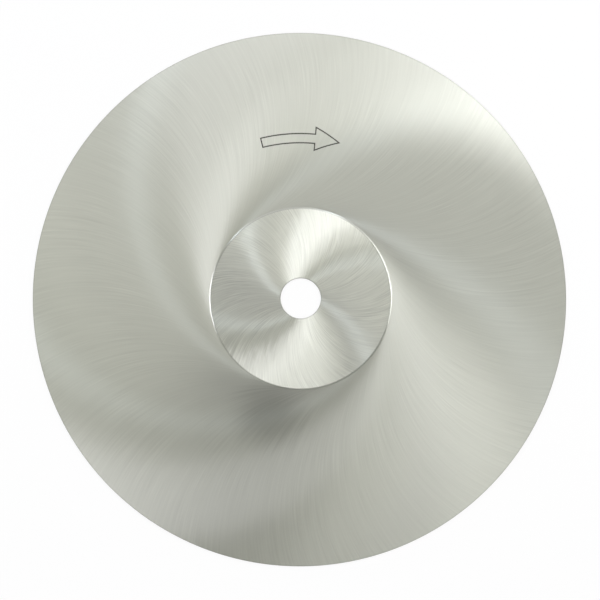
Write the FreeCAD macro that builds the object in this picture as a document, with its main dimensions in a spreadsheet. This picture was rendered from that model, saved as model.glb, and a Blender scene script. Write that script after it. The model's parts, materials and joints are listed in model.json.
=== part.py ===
import FreeCAD, Part

import os

import Sketcher

# A plain-rim circular saw blade of high speed steel: a thin disc with a round arbor bore, a flat
# collar seat round the bore, and sides that are ground slightly hollow between the collar and the rim.
# The blade is one piece of steel, and it is modelled in the order in which it is made: a disc is cut
# from sheet, both sides are ground hollow, the bore is cut, and the sharp edges are broken.
#
# Frame: the origin is on the bore's axis at half the blade's thickness, and +Z points along the axis.

doc = FreeCAD.newDocument("circular_saw_blade")

# Driving dimensions, in millimetres.
DIMENSIONS = [
    ("blade_diameter", 425.0, "outside diameter, over the plain rim"),
    ("blade_thickness", 3.0, "thickness at the collar seat and at the rim land"),
    ("bore_diameter", 32.0, "arbor bore"),
    ("collar_diameter", 144.0, "flat seat for the clamping flanges"),
    ("hollow_depth", 0.25, "how far the web lies below the collar face at the collar, on each side"),
    ("wheel_corner_radius", 3.0, "corner that the grinding wheel leaves at the foot of the collar"),
    ("rim_land_width", 2.0, "narrow flat that is left at full thickness along the rim"),
    ("bore_chamfer", 0.4, "chamfer at both mouths of the bore"),
    ("rim_chamfer", 0.25, "edge break round both sides of the rim"),
]

sheet = doc.addObject("Spreadsheet::Sheet", "dimensions")
for row, (alias, value, meaning) in enumerate(DIMENSIONS, start=1):
    sheet.set(f"A{row}", alias)
    sheet.set(f"B{row}", str(value))
    sheet.set(f"C{row}", meaning)
    sheet.setAlias(f"B{row}", alias)
doc.recompute()


def size(alias):
    """The value of one driving dimension, in millimetres."""
    return float(sheet.get(alias))


def origin_feature(body, role):
    """One of the planes or axes that the body carries, by its role, such as XY_Plane or Z_Axis."""
    return next(item for item in body.Origin.OriginFeatures if item.Role == role)


def add_sketch(body, name, plane_role):
    """An empty sketch that lies in one of the body's own planes."""
    sketch = body.newObject("Sketcher::SketchObject", name)
    sketch.AttachmentSupport = (origin_feature(body, plane_role), [""])
    sketch.MapMode = "FlatFace"
    return sketch


def bind(sketch, constraint, name, expression):
    """Adds one dimension to a sketch and drives it from the spreadsheet."""
    index = sketch.addConstraint(constraint)
    sketch.renameConstraint(index, name)
    sketch.setExpression(f"Constraints.{name}", expression)


# Sketch geometry is named by its index, and its points by these numbers.
START, END, CENTRE = 1, 2, 3
ORIGIN, HORIZONTAL_AXIS = -1, -1
UP = FreeCAD.Vector(0, 0, 1)


def circle_sketch(body, name, diameter_alias):
    """A circle round the blade's axis, in the blade's mid-plane."""
    sketch = add_sketch(body, name, "XY_Plane")
    centre = FreeCAD.Vector(0, 0, 0)
    rim = sketch.addGeometry(Part.Circle(centre, UP, size(diameter_alias) / 2), False)
    sketch.addConstraint(Sketcher.Constraint("Coincident", rim, CENTRE, ORIGIN, START))
    diameter = Sketcher.Constraint("Diameter", rim, size(diameter_alias))
    bind(sketch, diameter, "diameter", f"dimensions.{diameter_alias}")
    return sketch


def hollow_sketch(body):
    """The sliver of steel that the wheel takes off one side, as half a section beside the axis.

    It runs from the edge of the collar face, down the wheel's corner radius to the web, and along
    the web's straight taper up to the inner edge of the rim land.
    """
    face_height = size("blade_thickness") / 2
    collar_radius = size("collar_diameter") / 2
    corner_radius = size("wheel_corner_radius")
    web_height = face_height - size("hollow_depth")
    land_radius = size("blade_diameter") / 2 - size("rim_land_width")

    # First guess of the corner arc, with the taper taken as level. The constraints then settle it.
    corner_height = web_height + corner_radius
    corner_run = (corner_radius**2 - (corner_height - face_height) ** 2) ** 0.5
    corner_centre = FreeCAD.Vector(collar_radius + corner_run, corner_height, 0)
    collar_edge = FreeCAD.Vector(collar_radius, face_height, 0)
    web_foot = FreeCAD.Vector(collar_radius + corner_run, web_height, 0)
    land_edge = FreeCAD.Vector(land_radius, face_height, 0)
    corner_circle = Part.Circle(corner_centre, UP, corner_radius)
    from_angle = corner_circle.parameter(collar_edge)
    to_angle = corner_circle.parameter(web_foot)

    sketch = add_sketch(body, "hollow_section", "XZ_Plane")
    corner = sketch.addGeometry(Part.ArcOfCircle(corner_circle, from_angle, to_angle), False)
    web = sketch.addGeometry(Part.LineSegment(web_foot, land_edge), False)
    face = sketch.addGeometry(Part.LineSegment(land_edge, collar_edge), False)

    sketch.addConstraint(Sketcher.Constraint("Tangent", corner, END, web, START))
    sketch.addConstraint(Sketcher.Constraint("Coincident", web, END, face, START))
    sketch.addConstraint(Sketcher.Constraint("Coincident", face, END, corner, START))
    sketch.addConstraint(Sketcher.Constraint("Horizontal", face))

    collar_x = Sketcher.Constraint("DistanceX", ORIGIN, START, corner, START, collar_radius)
    bind(sketch, collar_x, "collar_edge", "dimensions.collar_diameter / 2")
    face_y = Sketcher.Constraint("DistanceY", ORIGIN, START, corner, START, face_height)
    bind(sketch, face_y, "face_height", "dimensions.blade_thickness / 2")
    land_x = Sketcher.Constraint("DistanceX", ORIGIN, START, web, END, land_radius)
    bind(sketch, land_x, "land_edge", "dimensions.blade_diameter / 2 - dimensions.rim_land_width")
    web_y = Sketcher.Constraint("DistanceY", web, START, corner, START, size("hollow_depth"))
    bind(sketch, web_y, "hollow_depth", "dimensions.hollow_depth")
    corner_r = Sketcher.Constraint("Radius", corner, corner_radius)
    bind(sketch, corner_r, "corner_radius", "dimensions.wheel_corner_radius")
    return sketch


def round_edges(shape, radius):
    """The names of the circular edges of one radius on the blade's two faces, for a chamfer."""
    face_height = size("blade_thickness") / 2
    found = []
    for number, edge in enumerate(shape.Edges, start=1):
        if not isinstance(edge.Curve, Part.Circle):
            continue
        on_face = abs(abs(edge.Curve.Center.z) - face_height) < 1e-6
        if on_face and abs(edge.Curve.Radius - radius) < 1e-6:
            found.append(f"Edge{number}")
    if len(found) != 2:
        raise RuntimeError(f"{len(found)} edges of radius {radius} lie on the faces, not 2")
    return found


def must_remove(feature, before):
    """A cut that points away from the steel removes nothing and gives no error, so it is measured."""
    doc.recompute()
    removed = before - feature.Shape.Volume
    print(f"{feature.Label}: removes {removed:.1f} mm3, leaves {feature.Shape.Volume:.1f} mm3")
    if removed <= 0:
        raise RuntimeError(f"{feature.Label} removes nothing")
    return feature.Shape.Volume


def make_saw_blade():
    body = doc.addObject("PartDesign::Body", "saw_blade")
    body.Label = "saw_blade"

    # The disc, cut from sheet and as thick on either side of the mid-plane.
    disc = body.newObject("PartDesign::Pad", "disc")
    disc.Profile = circle_sketch(body, "disc_outline", "blade_diameter")
    disc.SideType = "Symmetric"
    disc.setExpression("Length", "dimensions.blade_thickness")
    doc.recompute()
    volume = disc.Shape.Volume

    # The hollow ground web on the upper side, turned round the axis.
    upper_hollow = body.newObject("PartDesign::Groove", "upper_hollow")
    section = hollow_sketch(body)
    upper_hollow.Profile = section
    upper_hollow.ReferenceAxis = (section, ["V_Axis"])
    upper_hollow.Angle = 360.0
    volume = must_remove(upper_hollow, volume)

    # The same web on the lower side.
    both_hollows = body.newObject("PartDesign::Mirrored", "both_hollows")
    both_hollows.Originals = [upper_hollow]
    both_hollows.MirrorPlane = (origin_feature(body, "XY_Plane"), [""])
    body.Tip = both_hollows
    volume = must_remove(both_hollows, volume)

    # The arbor bore, right through.
    bore = body.newObject("PartDesign::Pocket", "arbor_bore")
    bore.Profile = circle_sketch(body, "bore_outline", "bore_diameter")
    bore.SideType = "Symmetric"
    bore.Type = "ThroughAll"
    volume = must_remove(bore, volume)

    # The bore's mouths are chamfered so that the blade goes onto its arbor without a burr.
    bore_mouths = body.newObject("PartDesign::Chamfer", "bore_mouths")
    bore_mouths.Base = (bore, round_edges(bore.Shape, size("bore_diameter") / 2))
    bore_mouths.setExpression("Size", "dimensions.bore_chamfer")
    volume = must_remove(bore_mouths, volume)

    # The rim's sharp corners are broken.
    rim_edges = body.newObject("PartDesign::Chamfer", "rim_edges")
    rim_edges.Base = (bore_mouths, round_edges(bore_mouths.Shape, size("blade_diameter") / 2))
    rim_edges.setExpression("Size", "dimensions.rim_chamfer")
    must_remove(rim_edges, volume)

    body.Placement = FreeCAD.Placement()
    return body


pieces = [make_saw_blade()]
doc.recompute()

for item in doc.Objects:
    if "Invalid" in item.State or "Error" in item.State:
        raise RuntimeError(f"{item.Label} did not compute: {item.State}")
for piece in pieces:
    if piece.Shape.isNull() or not piece.Shape.isValid():
        raise RuntimeError(f"{piece.Label} has no valid shape")

os.makedirs("parts", exist_ok=True)
for piece in pieces:
    piece.Shape.exportStep(f"parts/{piece.Label}.step")
    box = piece.Shape.BoundBox
    print(
        f"{piece.Label}: {len(piece.Shape.Solids)} solid, {len(piece.Shape.Faces)} faces, "
        f"{box.XLength:.2f} x {box.YLength:.2f} x {box.ZLength:.2f} mm"
    )
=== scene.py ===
# %% [markdown]
# # A ground circular saw blade
#
# The object is one disc of steel: a round arbor bore, a flat collar seat round it, and two sides
# that are ground slightly hollow out to a plain rim. Its shape is simple and its finish is not.
# All that one sees is how light runs along thousands of curved grinding marks, so most of this
# lesson is about those marks.
#
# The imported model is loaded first. It is the fixed frame: every size below is in metres, and the
# blade lies in the same place as in the construction model.

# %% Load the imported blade
import json
import math

import bmesh
import bpy
from mathutils import Matrix, Vector


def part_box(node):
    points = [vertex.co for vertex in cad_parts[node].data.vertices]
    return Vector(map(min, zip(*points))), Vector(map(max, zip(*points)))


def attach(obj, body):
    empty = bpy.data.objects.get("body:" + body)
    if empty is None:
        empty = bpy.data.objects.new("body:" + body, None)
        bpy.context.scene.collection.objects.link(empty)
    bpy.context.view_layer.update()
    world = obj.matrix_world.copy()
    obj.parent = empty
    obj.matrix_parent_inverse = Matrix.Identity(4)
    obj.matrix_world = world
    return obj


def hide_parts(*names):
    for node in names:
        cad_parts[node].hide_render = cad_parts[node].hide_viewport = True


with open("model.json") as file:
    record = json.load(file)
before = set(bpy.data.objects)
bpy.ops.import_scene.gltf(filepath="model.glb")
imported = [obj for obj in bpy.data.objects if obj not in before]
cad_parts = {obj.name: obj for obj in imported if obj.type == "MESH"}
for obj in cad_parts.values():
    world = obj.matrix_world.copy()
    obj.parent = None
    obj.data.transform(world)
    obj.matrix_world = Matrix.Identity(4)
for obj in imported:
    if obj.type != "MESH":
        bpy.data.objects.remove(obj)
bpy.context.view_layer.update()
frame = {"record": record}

# %% [markdown]
# ## Sizes
#
# The thickness is read from the frame and the bore from the blade's own mount, so what is drawn
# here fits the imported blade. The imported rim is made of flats, which leaves its box a hair short,
# so the diameter is written out. So are the sizes that no box shows, all in metres.

# %% Sizes of the blade
MM = 0.001

lowest, highest = (corner[2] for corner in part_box("saw_blade"))
BLADE_RADIUS = 212.5 * MM
HALF_THICKNESS = highest
bore_mount = next(m for m in frame["record"]["mounts"] if m["name"] == "arbor_bore")
BORE_RADIUS = bore_mount["dims"]["r_mm"] * MM

COLLAR_RADIUS = 72 * MM
HOLLOW_DEPTH = 0.25 * MM
CORNER_RADIUS = 3 * MM
RIM_LAND = 2 * MM
BORE_CHAMFER = 0.4 * MM
RIM_CHAMFER = 0.25 * MM

print(f"blade radius {BLADE_RADIUS:.4f} m, from {lowest:.4f} to {highest:.4f} m in height")

# %% [markdown]
# ## Camera
#
# The blade can't stand, so it lies on its side and the camera looks down on it from 1.2 m, with
# a lens that is a little long, as a product photographer would have it. The rim and the bore
# aren't quite concentric in the picture, which tells that the camera leaned a little: the near
# side of a leaning circle is drawn larger, so its middle moves that way. The distance is chosen,
# and from there a lean of 2.3 degrees explains it. The focal length follows from the width of
# floor that the picture takes in.

# %% Camera
CAMERA_DISTANCE = 1.2
CAMERA_LEAN = math.radians(2.3)
CAMERA_AZIMUTH = math.radians(225)
PICTURE_WIDTH = 0.4783
AIM = Vector((-0.0006, -0.0013, 0))
SENSOR_WIDTH_MM = 36


def look_down_camera():
    """A camera that stands almost over the blade, with the picture's top towards +Y."""
    data = bpy.data.cameras.new("camera")
    data.sensor_width = SENSOR_WIDTH_MM
    data.lens = SENSOR_WIDTH_MM * CAMERA_DISTANCE / PICTURE_WIDTH
    back = Vector((
        math.sin(CAMERA_LEAN) * math.cos(CAMERA_AZIMUTH),
        math.sin(CAMERA_LEAN) * math.sin(CAMERA_AZIMUTH),
        math.cos(CAMERA_LEAN),
    ))
    right = Vector((0, 1, 0)).cross(back).normalized()
    top = back.cross(right)
    camera = bpy.data.objects.new("camera", data)
    camera.location = AIM + back * CAMERA_DISTANCE
    camera.rotation_euler = Matrix((right, top, back)).transposed().to_euler()
    bpy.context.collection.objects.link(camera)
    return camera


camera = look_down_camera()
bpy.context.scene.camera = camera
bpy.context.scene.view_settings.view_transform = "Standard"
print(f"lens {camera.data.lens:.1f} mm")

# %% [markdown]
# ## The section
#
# This blade is a body of revolution, so one half section tells its whole shape. It starts at
# the bore's wall, runs over the chamfer and the flat collar seat, drops down the corner that the
# grinding wheel leaves, climbs along the hollow ground web to the narrow rim land, and ends at
# the broken edge of the rim. The lower side is the same line mirrored.
#
# Only the corner is round, and it is worked out as an arc. The web is a straight taper, and it
# gets a ring every few millimetres so that its triangles stay well shaped.

# %% The half section, from the bore to the rim
CORNER_STEPS = 12
WEB_STEPS = 10
COLLAR_STEPS = 5


def between(start, end, steps):
    """Points on the straight line from start to end, without its first point."""
    return [
        (start[0] + (end[0] - start[0]) * i / steps, start[1] + (end[1] - start[1]) * i / steps)
        for i in range(1, steps + 1)
    ]


def upper_section():
    """Radius and height of each ring of the upper side, from the bore's wall to the rim's."""
    web_height = HALF_THICKNESS - HOLLOW_DEPTH
    land_radius = BLADE_RADIUS - RIM_LAND
    corner_run = math.sqrt(CORNER_RADIUS**2 - (CORNER_RADIUS - HOLLOW_DEPTH) ** 2)
    corner_turn = math.asin(corner_run / CORNER_RADIUS)
    corner_centre = (COLLAR_RADIUS + corner_run, web_height + CORNER_RADIUS)

    points = [(BORE_RADIUS, HALF_THICKNESS - BORE_CHAMFER)]
    points.append((BORE_RADIUS + BORE_CHAMFER, HALF_THICKNESS))
    points += between(points[-1], (COLLAR_RADIUS, HALF_THICKNESS), COLLAR_STEPS)
    for i in range(1, CORNER_STEPS + 1):
        turn = corner_turn * (1 - i / CORNER_STEPS)
        points.append((
            corner_centre[0] - CORNER_RADIUS * math.sin(turn),
            corner_centre[1] - CORNER_RADIUS * math.cos(turn),
        ))
    points += between(points[-1], (land_radius, HALF_THICKNESS), WEB_STEPS)
    points.append((BLADE_RADIUS - RIM_CHAMFER, HALF_THICKNESS))
    points.append((BLADE_RADIUS, HALF_THICKNESS - RIM_CHAMFER))
    return points


def section_mesh(path_radius):
    """The whole section as a closed loop of edges, drawn beside the path that it will travel."""
    upper = upper_section()
    loop = upper + [(radius, -height) for radius, height in reversed(upper)]
    mesh = bpy.data.meshes.new("blade_section")
    edges = [(i, (i + 1) % len(loop)) for i in range(len(loop))]
    mesh.from_pydata([(radius - path_radius, height, 0) for radius, height in loop], edges, [])
    return mesh


print(f"{len(upper_section())} rings a side")

# %% [markdown]
# ## Building node trees
#
# The shape and the finishes of the blade both come from node trees, and the script builds them
# all. Four helpers keep that short. Each adds one node, fills in its inputs with plain values or
# links them to sockets, and gives back what the next step needs.

# %% Helpers for node trees
def add_node(tree, kind, **settings):
    """A new node of that kind, with its properties set and its plain inputs filled in."""
    node = tree.nodes.new(kind)
    inputs = settings.pop("inputs", {})
    for name, value in settings.items():
        setattr(node, name, value)
    for name, value in inputs.items():
        if isinstance(value, bpy.types.NodeSocket):
            tree.links.new(value, node.inputs[name])
        else:
            node.inputs[name].default_value = value
    return node


def maths(tree, operation, *values):
    """The result of one Math node whose inputs are sockets or plain numbers."""
    node = add_node(tree, "ShaderNodeMath", operation=operation)
    for socket, value in zip(node.inputs, values):
        if isinstance(value, bpy.types.NodeSocket):
            tree.links.new(value, socket)
        else:
            socket.default_value = value
    return node.outputs[0]


def vector_maths(tree, operation, first, second=None, scale=None, result="Vector"):
    """The result of one Vector Math node."""
    node = add_node(tree, "ShaderNodeVectorMath", operation=operation)
    for socket, value in ((node.inputs[0], first), (node.inputs[1], second)):
        if isinstance(value, bpy.types.NodeSocket):
            tree.links.new(value, socket)
        elif value is not None:
            socket.default_value = value
    if isinstance(scale, bpy.types.NodeSocket):
        tree.links.new(scale, node.inputs["Scale"])
    elif scale is not None:
        node.inputs["Scale"].default_value = scale
    return node.outputs[result]


def soft_step(tree, value, start, end, low, high):
    """A value that goes smoothly from low to high while the given one goes from start to end."""
    step = add_node(
        tree,
        "ShaderNodeMapRange",
        interpolation_type="SMOOTHSTEP",
        inputs={"Value": value, "From Min": start, "From Max": end, "To Min": low, "To Max": high},
    )
    return step.outputs["Result"]


# %% [markdown]
# ## Turning the section into a disc
#
# Geometry Nodes does what a lathe does. The section becomes a curve, a circle is the path that it
# travels, and Curve to Mesh sweeps one round the other. The circle has as many steps as the rim
# needs to look round in a close view. The steps, the radii and the finishes are inputs of the
# tree, so the same tree could turn another plain blade.
#
# A face is given its finish by where it is: a face that slopes steeply was turned on a lathe,
# one inside the collar's circle belongs to the collar seat, and all the rest is the web.

# %% The lathe, as a node tree
TURNING_STEPS = 720
STEEP = 0.85


def lathe_tree():
    """Turns a section round the Z axis and gives each zone of the blade its own finish."""
    tree = bpy.data.node_groups.new("lathe", "GeometryNodeTree")
    face = tree.interface
    face.new_socket("Section", in_out="INPUT", socket_type="NodeSocketGeometry")
    face.new_socket("Turning steps", in_out="INPUT", socket_type="NodeSocketInt")
    face.new_socket("Path radius", in_out="INPUT", socket_type="NodeSocketFloat")
    face.new_socket("Collar radius", in_out="INPUT", socket_type="NodeSocketFloat")
    for finish in ("Ground web", "Collar seat", "Turned edge"):
        face.new_socket(finish, in_out="INPUT", socket_type="NodeSocketMaterial")
    face.new_socket("Disc", in_out="OUTPUT", socket_type="NodeSocketGeometry")
    given = add_node(tree, "NodeGroupInput").outputs

    section = add_node(tree, "GeometryNodeMeshToCurve", inputs={"Mesh": given["Section"]})
    path = add_node(
        tree,
        "GeometryNodeCurvePrimitiveCircle",
        inputs={"Resolution": given["Turning steps"], "Radius": given["Path radius"]},
    )
    swept = add_node(
        tree,
        "GeometryNodeCurveToMesh",
        inputs={"Curve": path.outputs["Curve"], "Profile Curve": section.outputs["Curve"]},
    )

    place = add_node(tree, "GeometryNodeInputPosition").outputs[0]
    normal = add_node(tree, "GeometryNodeInputNormal").outputs[0]
    flat_place = vector_maths(tree, "MULTIPLY", place, (1, 1, 0))
    radius = vector_maths(tree, "LENGTH", flat_place, result="Value")
    upright = add_node(tree, "ShaderNodeSeparateXYZ", inputs={"Vector": normal}).outputs["Z"]
    is_steep = maths(tree, "LESS_THAN", maths(tree, "ABSOLUTE", upright), STEEP)
    is_collar = maths(tree, "LESS_THAN", radius, given["Collar radius"])

    finished = swept.outputs["Mesh"]
    zones = (("Ground web", None), ("Collar seat", is_collar), ("Turned edge", is_steep))
    for finish, where in zones:
        node = add_node(
            tree,
            "GeometryNodeSetMaterial",
            inputs={"Geometry": finished, "Material": given[finish]},
        )
        if where is not None:
            tree.links.new(where, node.inputs["Selection"])
        finished = node.outputs["Geometry"]
    real = add_node(tree, "GeometryNodeRealizeInstances", inputs={"Geometry": finished})
    out = add_node(tree, "NodeGroupOutput")
    tree.links.new(real.outputs["Geometry"], out.inputs["Disc"])
    return tree


# %% [markdown]
# ## How the grinding marks run
#
# Blades like this are often ground on a rotary table. The blade turns slowly under the rim of a
# large cup wheel, and each grain of the wheel leaves an arc. So every mark is a piece of one
# circle, the wheel's, whose centre stands at a fixed distance from the blade's axis. The web is
# ground by a wheel that reaches just in to the collar, and the collar seat by a smaller one.
#
# For a point of the blade, the wheel's centre is found from two distances: the one to the axis
# and the one to the point. The unit vector from that centre to the point is across the mark.
# It goes to the shader's Tangent, because a highlight spreads across the marks and stays thin
# along them. The centre's own direction, seen from the axis, is the same all along one mark and
# different for the next, so it serves as the mark's name, and streaks drawn from it follow the
# arcs with nothing else to steer them.
#
# No grain runs quite true. A noise turns each mark a little off its circle, and that is what
# breaks the edge of a highlight into fine streaks.

# %% Working out the marks with nodes
SMALLEST_RADIUS = 1 * MM
TURNED_LENGTH = 12 * MM


def mark_paths(tree, wheel_radius, wheel_offset, streaks_per_turn, wander):
    """Sockets for the direction across the marks, each mark's name and place, and the radius."""
    place = add_node(tree, "ShaderNodeTexCoord").outputs["Object"]
    flat = vector_maths(tree, "MULTIPLY", place, (1, 1, 0))
    radius = vector_maths(tree, "LENGTH", flat, result="Value")
    radius = maths(tree, "MAXIMUM", radius, SMALLEST_RADIUS)
    outward = vector_maths(tree, "NORMALIZE", flat)
    sideways = vector_maths(tree, "CROSS_PRODUCT", (0, 0, 1), outward)

    known = wheel_offset**2 - wheel_radius**2
    along = maths(tree, "DIVIDE", maths(tree, "MULTIPLY_ADD", radius, radius, known), 2)
    along = maths(tree, "DIVIDE", along, radius)
    rest = maths(tree, "SUBTRACT", wheel_offset**2, maths(tree, "MULTIPLY", along, along))
    aside = maths(tree, "SQRT", maths(tree, "MAXIMUM", rest, 0))

    centre = vector_maths(
        tree,
        "ADD",
        vector_maths(tree, "SCALE", outward, scale=along),
        vector_maths(tree, "SCALE", sideways, scale=aside),
    )
    across = vector_maths(tree, "SUBTRACT", flat, centre)
    name = vector_maths(tree, "NORMALIZE", centre)
    mark = vector_maths(
        tree,
        "ADD",
        name,
        add_node(tree, "ShaderNodeCombineXYZ", inputs={"Z": radius}).outputs[0],
    )

    density = streaks_per_turn / math.tau
    streaks = add_node(
        tree,
        "ShaderNodeTexNoise",
        inputs={
            "Vector": vector_maths(tree, "MULTIPLY", mark, (density, density, 1 / TURNED_LENGTH)),
            "Scale": 1.0,
            "Detail": 2.0,
            "Roughness": 0.5,
        },
    )
    turn = maths(tree, "MULTIPLY", maths(tree, "SUBTRACT", streaks.outputs["Fac"], 0.5), wander)
    turned = add_node(
        tree,
        "ShaderNodeVectorRotate",
        rotation_type="Z_AXIS",
        inputs={"Vector": vector_maths(tree, "NORMALIZE", across), "Angle": turn},
    )
    return turned.outputs[0], mark, radius


# %% [markdown]
# ## Scratches
#
# The grains of a wheel aren't alike, so some marks are deeper or brighter than their neighbours.
# Both ground finishes need this, so it is one node group. It takes a mark's name and place,
# stretches noise along it at two scales, and gives out a tone for the colour, a change of
# roughness and a height for the bump. A third, broad noise makes the scratches clearer in some
# passes of the wheel than in others.
#
# The change of roughness is kept small on purpose. A thin mark that is much smoother than its
# neighbours flashes as a row of white specks.

# %% The scratches, as a group
SCRATCH_LAYERS = ((1, 1, 1.0), (4, 2, 0.4))
PASS_STRETCH = (3, 3, 25)
CLEAREST = 1.4
FAINTEST = 0.6
ROUGHNESS_SHARE = -0.06


def scratch_group():
    """Streaks that follow the marks, as a tone round 1, a change round 0 and a height."""
    tree = bpy.data.node_groups.new("grinding_scratches", "ShaderNodeTree")
    face = tree.interface
    face.new_socket("Mark", in_out="INPUT", socket_type="NodeSocketVector")
    face.new_socket("Density", in_out="INPUT", socket_type="NodeSocketFloat")
    face.new_socket("Length", in_out="INPUT", socket_type="NodeSocketFloat")
    face.new_socket("Contrast", in_out="INPUT", socket_type="NodeSocketFloat")
    face.new_socket("Tone", in_out="OUTPUT", socket_type="NodeSocketFloat")
    face.new_socket("Roughness change", in_out="OUTPUT", socket_type="NodeSocketFloat")
    face.new_socket("Height", in_out="OUTPUT", socket_type="NodeSocketFloat")
    given = add_node(tree, "NodeGroupInput").outputs

    layers = []
    for finer, shorter, weight in SCRATCH_LAYERS:
        density = maths(tree, "MULTIPLY", given["Density"], finer)
        stretch = add_node(
            tree,
            "ShaderNodeCombineXYZ",
            inputs={
                "X": density,
                "Y": density,
                "Z": maths(tree, "DIVIDE", shorter, given["Length"]),
            },
        )
        noise = add_node(
            tree,
            "ShaderNodeTexNoise",
            inputs={
                "Vector": vector_maths(tree, "MULTIPLY", given["Mark"], stretch.outputs[0]),
                "Scale": 1.0,
                "Detail": 2.0,
                "Roughness": 0.6,
            },
        )
        centred = maths(tree, "SUBTRACT", noise.outputs["Fac"], 0.5)
        layers.append(maths(tree, "MULTIPLY", centred, weight))
    both = maths(tree, "ADD", layers[0], layers[1])
    passes = add_node(
        tree,
        "ShaderNodeTexNoise",
        inputs={
            "Vector": vector_maths(tree, "MULTIPLY", given["Mark"], PASS_STRETCH),
            "Scale": 1.0,
            "Detail": 1.0,
        },
    )
    clearness = soft_step(tree, passes.outputs["Fac"], 0.35, 0.65, FAINTEST, CLEAREST)
    contrast = maths(tree, "MULTIPLY", given["Contrast"], clearness)
    strength = maths(tree, "MULTIPLY", both, contrast)
    out = add_node(tree, "NodeGroupOutput")
    tree.links.new(maths(tree, "ADD", strength, 1.0), out.inputs["Tone"])
    smoother = maths(tree, "MULTIPLY", strength, ROUGHNESS_SHARE)
    tree.links.new(smoother, out.inputs["Roughness change"])
    tree.links.new(maths(tree, "ADD", both, 1.0), out.inputs["Height"])
    return tree


SCRATCHES = scratch_group()
print("shader groups:", SCRATCHES.name)

# %% [markdown]
# ## Ground steel
#
# Bare steel is a metal, so its colour tints every reflection and there is nothing else to it.
# What makes it look ground is that it is rough across the marks and smooth along them. The two
# roughnesses are chosen first, and the shader's roughness and anisotropy follow from them.

# %% Colour and highlight
WEB_COLOUR = Vector((0.59, 0.60, 0.555))
SEAT_COLOUR = WEB_COLOUR * 1.22


def spread(across, along):
    """Roughness and anisotropy of a highlight that is that wide across and along the marks."""
    roughness = math.sqrt(math.sqrt(across * along))
    anisotropy = (1 - along / across) / 0.9
    return roughness, anisotropy


print("colour of the web:", tuple(WEB_COLOUR), "and of the seat:", tuple(SEAT_COLOUR))

# %% [markdown]
# A soft dark patch lies below the collar. Most of it is a dark gap between lamps that the steel
# mirrors, and painted shade in the steel's colour deepens it. It may be a burn, from a wheel
# that ran hot, or only a dark gap between lamps that the steel mirrors, and one picture can't
# tell. The painted shade is a tone that grows back to 1 away from the patch's middle, and
# streaks of the marks fray its edge.

# %% The painted shade
PAINTED_SHADE_PLACE = (-25 * MM, -92 * MM)
PAINTED_SHADE_REACH = (36 * MM, 34 * MM)
PAINTED_SHADE_DEPTH = 0.28
PAINTED_SHADE_START = 0.55
PAINTED_SHADE_END = 1.5
PAINTED_SHADE_STRETCH = (30, 30, 15)
PAINTED_SHADE_FRAYING = 0.8


def painted_shade_tone(tree, mark):
    """The painted shade of the dark patch below the collar: 1 away from it, streaked within."""
    place = add_node(tree, "ShaderNodeTexCoord").outputs["Object"]
    offset = vector_maths(tree, "SUBTRACT", place, (*PAINTED_SHADE_PLACE, 0))
    offset = vector_maths(tree, "MULTIPLY", offset, (1 / PAINTED_SHADE_REACH[0], 1 / PAINTED_SHADE_REACH[1], 0))
    distance = vector_maths(tree, "LENGTH", offset, result="Value")
    streaks = add_node(
        tree,
        "ShaderNodeTexNoise",
        inputs={
            "Vector": vector_maths(tree, "MULTIPLY", mark, PAINTED_SHADE_STRETCH),
            "Scale": 1.0,
            "Detail": 3.0,
        },
    )
    distance = maths(tree, "MULTIPLY_ADD", streaks.outputs["Fac"], PAINTED_SHADE_FRAYING, distance)
    return soft_step(tree, distance, PAINTED_SHADE_START, PAINTED_SHADE_END, 1 - PAINTED_SHADE_DEPTH, 1.0)


# The painted shade takes at most this share off the tone of the web's colour.
print(f"the painted_shade takes {PAINTED_SHADE_DEPTH:.0%} off the tone at most")

# %% [markdown]
# Both finishes are made by one function, which brings together the marks' direction, the
# scratches, a tone for each edge, painted shade where a patch is given, and a bump so shallow
# that it only ruffles the highlights. Along each given edge the tone is darker in a thin line.

# %% Steel with one wheel's marks
BUMP_STRENGTH = 0.15
BUMP_DISTANCE = 0.02 * MM


def ground_steel(name, tint, wheel_radius, wheel_reach, across, along, streaks, streak_length,
                 contrast, wander, lines, patch=None):
    """Steel with the marks of one wheel on it, and thin darker lines along its edges."""
    material = bpy.data.materials.new(name)
    material.use_nodes = True
    tree = material.node_tree
    shader = tree.nodes["Principled BSDF"]
    roughness, anisotropy = spread(across, along)
    shader.inputs["Metallic"].default_value = 1
    shader.inputs["Anisotropic"].default_value = anisotropy

    wheel_offset = wheel_radius + wheel_reach
    across_marks, mark, radius = mark_paths(tree, wheel_radius, wheel_offset, streaks, wander)
    tree.links.new(across_marks, shader.inputs["Tangent"])
    scratches = add_node(
        tree,
        "ShaderNodeGroup",
        node_tree=SCRATCHES,
        inputs={
            "Mark": mark,
            "Density": streaks / math.tau,
            "Length": streak_length,
            "Contrast": contrast,
        },
    )
    tone = scratches.outputs["Tone"]
    for edge, reach, depth in lines:
        line = soft_step(tree, radius, edge, edge + reach, 1 - depth, 1.0)
        tone = maths(tree, "MULTIPLY", tone, line)
    # Where a patch is given, its painted shade darkens the tone of the colour.
    if patch:
        tone = maths(tree, "MULTIPLY", tone, patch(tree, mark))
    colour = vector_maths(tree, "SCALE", tint, scale=tone)
    tree.links.new(colour, shader.inputs["Base Color"])
    changed = maths(tree, "ADD", scratches.outputs["Roughness change"], roughness)
    tree.links.new(changed, shader.inputs["Roughness"])
    bump = add_node(
        tree,
        "ShaderNodeBump",
        inputs={
            "Strength": BUMP_STRENGTH,
            "Distance": BUMP_DISTANCE,
            "Height": scratches.outputs["Height"],
        },
    )
    tree.links.new(bump.outputs["Normal"], shader.inputs["Normal"])
    print(f"{name}: roughness {roughness:.3f}, anisotropy {anisotropy:.3f}")
    return material


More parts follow.
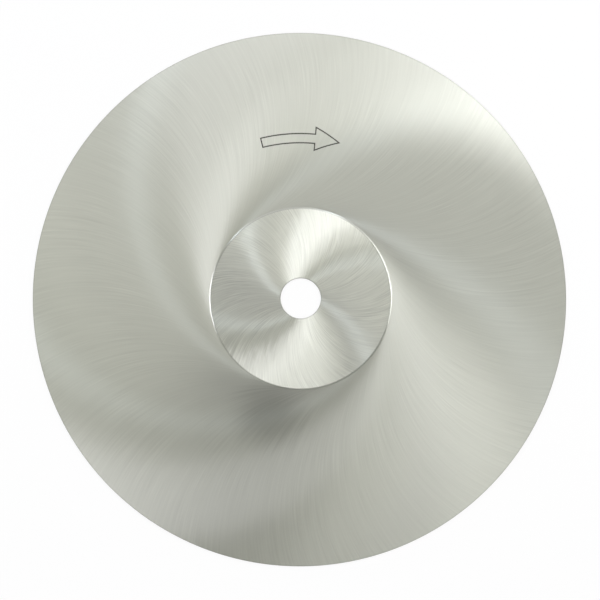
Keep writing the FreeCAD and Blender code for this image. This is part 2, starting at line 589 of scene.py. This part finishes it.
# %% [markdown]
# The web is ground by the large wheel and the collar seat by the small one. The seat is a little
# brighter and its marks are more uneven, so its highlights are more streaked.
#
# Across and along are the widths of the highlight. Streaks is how many marks fit round a full
# turn, and wander is how far, in radians, the noise may turn them. Each of the lines is an edge's
# radius, how far the darker line reaches from it, and how much it takes off the tone.

# %% The two ground finishes
ground_web = ground_steel(
    "ground_web",
    tint=WEB_COLOUR,
    wheel_radius=140 * MM,
    wheel_reach=COLLAR_RADIUS,
    across=0.21,
    along=0.032,
    streaks=800,
    streak_length=50 * MM,
    contrast=0.20,
    wander=0.25,
    lines=[(BLADE_RADIUS, -1.2 * MM, 0.22)],
    # The web's colour carries the painted shade of the dark patch below the collar.
    patch=painted_shade_tone,
)
collar_seat = ground_steel(
    "collar_seat",
    tint=SEAT_COLOUR,
    wheel_radius=66 * MM,
    wheel_reach=4.6 * MM,
    across=0.27,
    along=0.030,
    streaks=400,
    streak_length=25 * MM,
    contrast=0.52,
    wander=0.5,
    lines=[(BORE_RADIUS, 1.2 * MM, 0.30), (COLLAR_RADIUS, -0.9 * MM, 0.30)],
)

# %% [markdown]
# The rim, the bore and their chamfers hardly show in the picture, and are taken to be turned.
# Their marks run round the axis, so the direction across them is up and down on a wall and in
# and out on a chamfer: the cross product of the surface's normal with the way round.

# %% The turned edges
TURNED_ACROSS = 0.2
TURNED_ALONG = 0.06
RING_STRETCH = (20, 20, 4000)


def turned_steel():
    """Steel with fine marks that run round the axis."""
    material = bpy.data.materials.new("turned_edge")
    material.use_nodes = True
    tree = material.node_tree
    shader = tree.nodes["Principled BSDF"]
    roughness, anisotropy = spread(TURNED_ACROSS, TURNED_ALONG)
    shader.inputs["Metallic"].default_value = 1
    shader.inputs["Anisotropic"].default_value = anisotropy
    place = add_node(tree, "ShaderNodeTexCoord").outputs["Object"]
    normal = add_node(tree, "ShaderNodeNewGeometry").outputs["Normal"]
    way_round = vector_maths(tree, "CROSS_PRODUCT", (0, 0, 1), place)
    across = vector_maths(tree, "CROSS_PRODUCT", normal, way_round)
    tree.links.new(vector_maths(tree, "NORMALIZE", across), shader.inputs["Tangent"])
    rings = add_node(
        tree,
        "ShaderNodeTexNoise",
        inputs={
            "Vector": vector_maths(tree, "MULTIPLY", place, RING_STRETCH),
            "Scale": 1.0,
            "Detail": 2.0,
        },
    )
    tone = maths(tree, "MULTIPLY_ADD", rings.outputs["Fac"], 0.3, 0.7)
    colour = vector_maths(tree, "SCALE", WEB_COLOUR, scale=tone)
    tree.links.new(colour, shader.inputs["Base Color"])
    uneven = maths(tree, "MULTIPLY_ADD", rings.outputs["Fac"], 0.1, roughness - 0.05)
    tree.links.new(uneven, shader.inputs["Roughness"])
    print(f"turned_edge: roughness {roughness:.3f}, anisotropy {anisotropy:.3f}")
    return material


turned_edge = turned_steel()

# %% [markdown]
# ## The blade
#
# The section, the lathe and the finishes come together here. The result is turned into a plain
# mesh, its normals are made to point outwards, and the edges between surfaces that meet at a
# clear angle are marked sharp, so that the collar's edge and the chamfers stay crisp.

# %% Turn the blade
SHARP_ANGLE = math.radians(15)


def set_inputs(modifier, values):
    """Sets a modifier's inputs, whose identifiers are looked up by their names in its tree."""
    for item in modifier.node_group.interface.items_tree:
        if item.in_out == "INPUT" and item.name in values:
            modifier[item.identifier] = values[item.name]


def turned_blade():
    """The blade as one closed plain mesh."""
    rough = bpy.data.objects.new("blade_section", section_mesh(COLLAR_RADIUS))
    bpy.context.collection.objects.link(rough)
    lathe = rough.modifiers.new("lathe", "NODES")
    lathe.node_group = lathe_tree()
    set_inputs(lathe, {
        "Turning steps": TURNING_STEPS,
        "Path radius": COLLAR_RADIUS,
        "Collar radius": COLLAR_RADIUS,
        "Ground web": ground_web,
        "Collar seat": collar_seat,
        "Turned edge": turned_edge,
    })
    graph = bpy.context.evaluated_depsgraph_get()
    mesh = bpy.data.meshes.new_from_object(rough.evaluated_get(graph), depsgraph=graph)
    bpy.data.objects.remove(rough)

    work = bmesh.new()
    work.from_mesh(mesh)
    bmesh.ops.remove_doubles(work, verts=work.verts, dist=1e-7)
    bmesh.ops.recalc_face_normals(work, faces=work.faces)
    for edge in work.edges:
        edge.smooth = edge.calc_face_angle(0) < SHARP_ANGLE
    for flat_face in work.faces:
        flat_face.smooth = True
    open_edges = sum(len(edge.link_faces) != 2 for edge in work.edges)
    volume = work.calc_volume(signed=True)
    work.to_mesh(mesh)
    work.free()
    piece = bpy.data.objects.new("ground_blade", mesh)
    bpy.context.collection.objects.link(piece)
    print(f"blade: {len(mesh.polygons)} faces, {open_edges} open edges, {volume * 1e9:.0f} mm3")
    return piece


blade = turned_blade()
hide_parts("saw_blade")
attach(blade, "root")

# %% [markdown]
# ## The etched arrow
#
# A plain arrow above the bore shows a way of turning. The way is made up, because a rim without
# teeth shows none. The arrow is an outline 1 mm wide, bent round the axis. Etching leaves a dark,
# dull skin, so the line is a thin piece of its own that is let into the web and stands a
# hundredth of a millimetre proud. A line made as a mesh stays crisp however near the camera
# comes.
#
# The arrow is drawn flat first, as distances along it and out from its middle line. Its inner
# outline is the outer one moved in by the line's width, and both are then bent round the axis.

# %% The arrow's outline
ARROW_RADIUS = 128 * MM
ARROW_LENGTH = 64 * MM
HEAD_LENGTH = 21 * MM
HEAD_HALF_WIDTH = 10 * MM
SHAFT_HALF_WIDTH = 4.2 * MM
ETCHED_LINE = 1.0 * MM
ETCHED_PROUD = 0.01 * MM
ETCHED_DEPTH = 0.05 * MM
ARROW_STEP = 2 * MM


def arrow_corners():
    """The corners of the flat arrow, anticlockwise, with its point at the right."""
    tail, point = -ARROW_LENGTH / 2, ARROW_LENGTH / 2
    neck = point - HEAD_LENGTH
    lower = [(tail, -SHAFT_HALF_WIDTH), (neck, -SHAFT_HALF_WIDTH), (neck, -HEAD_HALF_WIDTH)]
    upper = [(along, -out) for along, out in reversed(lower)]
    return lower + [(point, 0)] + upper


def inset(corners, distance):
    """The same outline moved inwards by that distance, with its corners kept sharp."""
    moved = []
    for i, corner in enumerate(corners):
        before = Vector(corner) - Vector(corners[i - 1])
        after = Vector(corners[(i + 1) % len(corners)]) - Vector(corner)
        first = Vector((-before.y, before.x)).normalized()
        second = Vector((-after.y, after.x)).normalized()
        moved.append(Vector(corner) + (first + second) * distance / (1 + first.dot(second)))
    return moved


def bent_round_axis(along, out, lift):
    """A point of the flat arrow, laid on the tapered web at that height above it."""
    radius = ARROW_RADIUS + out
    angle = math.pi / 2 - along / ARROW_RADIUS
    return (radius * math.cos(angle), radius * math.sin(angle), web_surface(radius) + lift)


def web_surface(radius):
    """The height of the ground web at that radius."""
    foot = COLLAR_RADIUS + math.sqrt(CORNER_RADIUS**2 - (CORNER_RADIUS - HOLLOW_DEPTH) ** 2)
    land = BLADE_RADIUS - RIM_LAND
    return HALF_THICKNESS - HOLLOW_DEPTH * (land - radius) / (land - foot)


print(f"arrow: {ARROW_LENGTH / MM:.0f} mm long, at a height of {web_surface(ARROW_RADIUS):.5f} m")

# %% [markdown]
# The etched skin is dark and dull with fine blotches. The arrow's two outlines become four rings
# of points, two on top and two let into the steel, and faces between them close the band.

# %% The etched arrow
def etched_finish():
    """The dark, dull skin that etching leaves on steel."""
    material = bpy.data.materials.new("etched_line")
    material.use_nodes = True
    tree = material.node_tree
    shader = tree.nodes["Principled BSDF"]
    shader.inputs["Metallic"].default_value = 0.6
    place = add_node(tree, "ShaderNodeTexCoord").outputs["Object"]
    blotches = add_node(
        tree,
        "ShaderNodeTexNoise",
        inputs={"Vector": place, "Scale": 900.0, "Detail": 3.0},
    )
    depth = add_node(tree, "ShaderNodeValToRGB", inputs={"Fac": blotches.outputs["Fac"]})
    depth.color_ramp.elements[0].position = 0.35
    depth.color_ramp.elements[0].color = (0.05, 0.05, 0.04, 1)
    depth.color_ramp.elements[1].position = 0.65
    depth.color_ramp.elements[1].color = (0.10, 0.10, 0.085, 1)
    tree.links.new(depth.outputs["Color"], shader.inputs["Base Color"])
    dull = maths(tree, "MULTIPLY_ADD", blotches.outputs["Fac"], 0.2, 0.4)
    tree.links.new(dull, shader.inputs["Roughness"])
    return material


def etched_arrow():
    """A closed thin band that follows the arrow's outline."""
    outer = [Vector(corner) for corner in arrow_corners()]
    inner = inset(outer, ETCHED_LINE)
    loops = {}
    for name, corners in (("outer", outer), ("inner", inner)):
        points = []
        for i, start in enumerate(corners):
            end = corners[(i + 1) % len(corners)]
            steps = max(1, round((outer[(i + 1) % len(outer)] - outer[i]).length / ARROW_STEP))
            points += [start.lerp(end, step / steps) for step in range(steps)]
        loops[name] = points

    work = bmesh.new()
    rings = []
    for name, lift in (
        ("outer", ETCHED_PROUD),
        ("inner", ETCHED_PROUD),
        ("inner", -ETCHED_DEPTH),
        ("outer", -ETCHED_DEPTH),
    ):
        rings.append([work.verts.new(bent_round_axis(p.x, p.y, lift)) for p in loops[name]])
    count = len(rings[0])
    for first, second in zip(rings, rings[1:] + rings[:1]):
        for i in range(count):
            after = (i + 1) % count
            work.faces.new((first[i], first[after], second[after], second[i]))
    bmesh.ops.recalc_face_normals(work, faces=work.faces)
    mesh = bpy.data.meshes.new("etched_arrow")
    work.to_mesh(mesh)
    work.free()
    mesh.materials.append(etched_finish())
    piece = bpy.data.objects.new("etched_arrow", mesh)
    bpy.context.collection.objects.link(piece)
    print(f"arrow: {len(mesh.polygons)} faces round {count} steps")
    return piece


arrow = etched_arrow()
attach(arrow, "root")

# %% [markdown]
# ## Floor
#
# The photograph's background is plain white. The floor is a pale sheet under the blade. Seen by
# the camera it is mostly light of its own at strength 1, which is white, and a small share is
# its real colour, so the blade's shadow stays on it.

# %% Floor
FLOOR_SIZE = 30.0
PAPER_COLOUR = (0.9, 0.9, 0.9, 1)
FLOOR_OWN_LIGHT = 0.93


def white_floor():
    """A wide sheet at the height of the blade's lower side."""
    mesh = bpy.data.meshes.new("floor")
    half = FLOOR_SIZE / 2
    corners = [(-half, -half), (half, -half), (half, half), (-half, half)]
    mesh.from_pydata([(x, y, -HALF_THICKNESS) for x, y in corners], [], [(0, 1, 2, 3)])
    sheet = bpy.data.objects.new("floor", mesh)
    bpy.context.collection.objects.link(sheet)

    material = bpy.data.materials.new("white_floor")
    material.use_nodes = True
    tree = material.node_tree
    tree.nodes.clear()
    paper = add_node(tree, "ShaderNodeBsdfDiffuse", inputs={"Color": PAPER_COLOUR})
    glow = add_node(tree, "ShaderNodeEmission", inputs={"Strength": 1.0})
    ray = add_node(tree, "ShaderNodeLightPath").outputs
    seen = maths(tree, "MAXIMUM", ray["Is Camera Ray"], ray["Is Glossy Ray"])
    seen = maths(tree, "MAXIMUM", seen, ray["Is Transmission Ray"])
    share = maths(tree, "MULTIPLY", seen, FLOOR_OWN_LIGHT)
    mix = add_node(tree, "ShaderNodeMixShader", inputs={"Fac": share})
    tree.links.new(paper.outputs[0], mix.inputs[1])
    tree.links.new(glow.outputs[0], mix.inputs[2])
    out = add_node(tree, "ShaderNodeOutputMaterial")
    tree.links.new(mix.outputs[0], out.inputs["Surface"])
    mesh.materials.append(material)
    return sheet


floor = white_floor()
print(f"floor: {FLOOR_SIZE:.0f} m square, {FLOOR_OWN_LIGHT:.0%} light of its own")

# %% [markdown]
# ## Light
#
# Ground steel shows its lamps. Each softbox draws bright arms on the disc, where the marks lie
# square to the way between the camera and that lamp. A lamp that is near and wide makes a broad
# soft arm, and one far off and narrow makes a thin arm with clear edges.
#
# A lamp is given by where it stands, how large it is and how bright its face is. Its power in
# watts follows from the face's area and brightness. Lamps are hidden from the camera, so that
# none of them blocks the view from another side.

# %% Kinds of lamp
CEILING_HEIGHT = 1.5
FAR_DISTANCE = 3.5
FAR_SIZE = 0.35
WARM = (1, 1, 0.90)
NEUTRAL = (1, 1, 1)
COOL = (0.93, 0.92, 1.0)
SKY = (0.83, 0.90, 1.0)


def lamp_face(name, place, size, brightness, colour):
    """A rectangular lamp that faces straight down."""
    data = bpy.data.lights.new(name, "AREA")
    data.shape = "RECTANGLE"
    data.size, data.size_y = size
    data.energy = math.pi * size[0] * size[1] * brightness
    data.color = colour
    lamp = bpy.data.objects.new(name, data)
    lamp.location = place
    lamp.visible_camera = False
    bpy.context.collection.objects.link(lamp)
    return lamp


def ceiling_panel(name, middle, size, brightness, colour=NEUTRAL):
    """A panel of the ceiling, given by its middle and size over the table."""
    return lamp_face(name, (*middle, CEILING_HEIGHT), size, brightness, colour)


def softbox(name, place, size, brightness, colour=COOL):
    """A lamp that is turned to face the middle of the blade."""
    lamp = lamp_face(name, place, size, brightness, colour)
    lamp.rotation_euler = Vector(place).to_track_quat("Z", "Y").to_euler()
    return lamp


def far_lamp(name, azimuth, elevation, brightness, colour=SKY):
    """A small softbox far from the table, placed by its direction from the blade."""
    turn, lift = math.radians(azimuth), math.radians(elevation)
    direction = Vector((
        math.cos(lift) * math.cos(turn),
        math.cos(lift) * math.sin(turn),
        math.sin(lift),
    ))
    place = tuple(direction * FAR_DISTANCE)
    return softbox(name, place, (FAR_SIZE, FAR_SIZE), brightness, colour)


print(f"ceiling at {CEILING_HEIGHT} m, far lamps at {FAR_DISTANCE} m")

# %% [markdown]
# The studio is a ceiling of soft panels, brighter along its edges, with softboxes at the back and
# at both sides. Two small cool lamps stand far off, and they draw the pale curved arms. Between
# the panels the ceiling stays dark, and most of the dark patch below the collar is that gap,
# mirrored by the steel. Painted shade in the web's colour only deepens it.
#
# The side lamps stand about as high as they are far out. Lower down they would have to be far
# brighter to draw the same arms for a camera overhead, and a view from the side would see little
# but their glare.

# %% Lamps
ceiling_panel("ceiling_left", (-0.625, 0), (0.5, 1.25), 0.78, WARM)
ceiling_panel("ceiling_middle", (0.125, 0.375), (1.0, 0.5), 0.55, WARM)
ceiling_panel("ceiling_over_bore", (0.06, 0.125), (0.125, 0.25), 0.7, WARM)
ceiling_panel("ceiling_right", (0.5, -0.125), (0.75, 0.5), 0.65, WARM)
ceiling_panel("ceiling_front", (-0.25, -0.375), (0.25, 1.0), 0.66, WARM)
ceiling_panel("front_edge", (0.125, -0.75), (1.5, 0.25), 1.0, WARM)
ceiling_panel("back_edge", (0, 0.75), (1.25, 0.25), 2.1)
ceiling_panel("right_edge_front", (0.75, 0), (0.25, 0.25), 2.6)
ceiling_panel("right_edge_middle", (0.75, 0.375), (0.25, 0.5), 6.0)
ceiling_panel("right_edge_back", (0.75, 0.75), (0.25, 0.25), 2.8)
softbox("back_wall", (0, 0.84, 0.45), (1.3, 0.9), 0.55)
softbox("right_back", (0.84, 0.45, 0.8), (0.6, 0.3), 1.9, NEUTRAL)
softbox("right_side", (0.84, 0, 0.8), (0.35, 0.3), 6.0, NEUTRAL)
softbox("right_low", (0.84, 0.3, 0.6), (0.35, 0.3), 4.2)
softbox("left_side", (-0.84, 0, 0.8), (0.55, 0.3), 7.6)
far_lamp("far_back_right", 69, 44, 22.0)
far_lamp("far_back_left", 134, 44, 20.0)
lamps = [thing for thing in bpy.data.objects if thing.type == "LIGHT"]
print(f"{len(lamps)} lamps, {sum(lamp.data.energy for lamp in lamps):.1f} W in all")

# %% [markdown]
# The room itself gives little light from above. Near the horizon it is white, like the wall that
# the floor's paper would curve up into, so a view from the side has a white background too. Seen
# from overhead, that wall lies so far from the mirror direction that the blade hardly shows it.

# %% Room
ROOM_BRIGHTNESS = 0.12
WALL_TOP = math.sin(math.radians(12))
WALL_FADE = math.sin(math.radians(25))


def room():
    """A world that is white round the horizon and dim above it."""
    world = bpy.data.worlds.new("room")
    world.use_nodes = True
    tree = world.node_tree
    direction = add_node(tree, "ShaderNodeTexCoord").outputs["Generated"]
    height = add_node(tree, "ShaderNodeSeparateXYZ", inputs={"Vector": direction}).outputs["Z"]
    level = soft_step(tree, height, WALL_TOP, WALL_FADE, 1.0, ROOM_BRIGHTNESS)
    background = tree.nodes["Background"]
    background.inputs["Color"].default_value = (1, 1, 1, 1)
    tree.links.new(level, background.inputs["Strength"])
    return world


bpy.context.scene.world = room()
print(f"room: white round the horizon, {ROOM_BRIGHTNESS} above")
